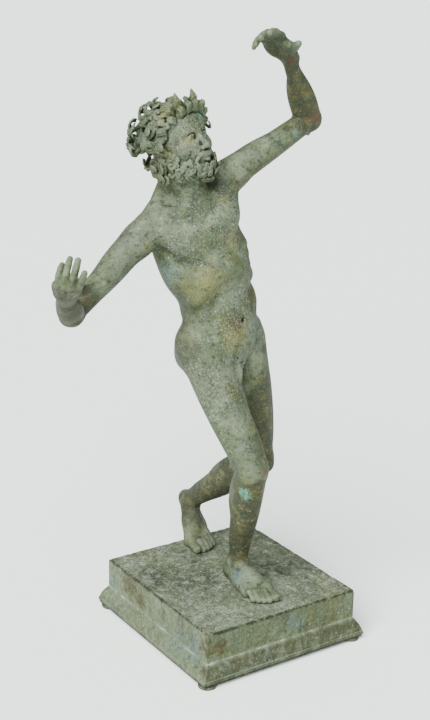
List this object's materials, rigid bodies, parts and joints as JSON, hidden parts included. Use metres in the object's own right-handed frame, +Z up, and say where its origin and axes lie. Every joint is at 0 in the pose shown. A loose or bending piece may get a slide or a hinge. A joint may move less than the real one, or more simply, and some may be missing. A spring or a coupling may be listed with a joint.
{
  "type": "dancing faun statue",
  "caption": "Bronze statue of a nude bearded dancing faun, one arm arched over its head, striding on a moulded rectangular plinth with low pads.",
  "frame": {"origin": "bottom centre of the bounding box, on the ground that the pads stand on", "axes": "+Z up, the figure strides towards -Y, and its raised left arm is on the +X side"},
  "size_m": [0.4326, 0.2996, 0.8087],
  "materials": {
    "faun_bronze": "verdigris patina, matt, grey-green with darker hollows",
    "plinth_bronze": "verdigris patina, matt, grey-green with dark corrosion and worn edges",
    "pad_bronze": "dull brown bronze, worn"
  },
  "bodies": {
    "root": {"faun": "faun_bronze", "plinth": "plinth_bronze", "pad_front_right": "pad_bronze", "pad_front_left": "pad_bronze", "pad_back_left": "pad_bronze", "pad_back_right": "pad_bronze"}
  },
  "joints": []
}
